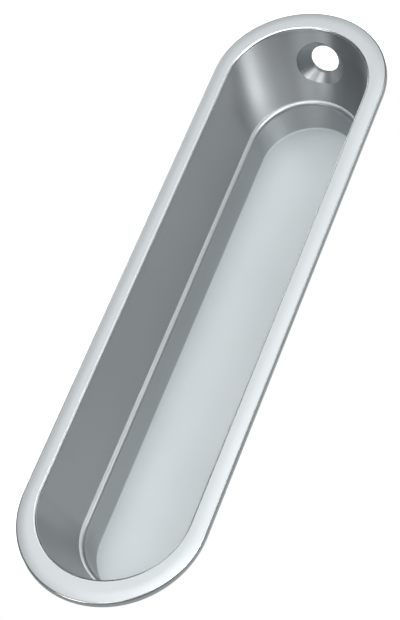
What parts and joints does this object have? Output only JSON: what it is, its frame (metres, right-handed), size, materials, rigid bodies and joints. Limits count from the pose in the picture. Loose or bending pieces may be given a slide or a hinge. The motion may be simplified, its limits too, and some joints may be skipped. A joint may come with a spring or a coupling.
{
  "type": "recessed pull handle",
  "caption": "Oblong flush pull with a stepped finger recess and an angled countersunk screw hole in each end wall.",
  "frame": {"origin": "centre of the flat back of the cup", "axes": "+X along the length, +Y across the width, +Z out of the face"},
  "size_m": [0.11, 0.029, 0.0214],
  "materials": {
    "pull_metal": "satin chrome plate over a smooth casting"
  },
  "bodies": {
    "root": {"pull_body": "pull_metal"}
  },
  "joints": []
}
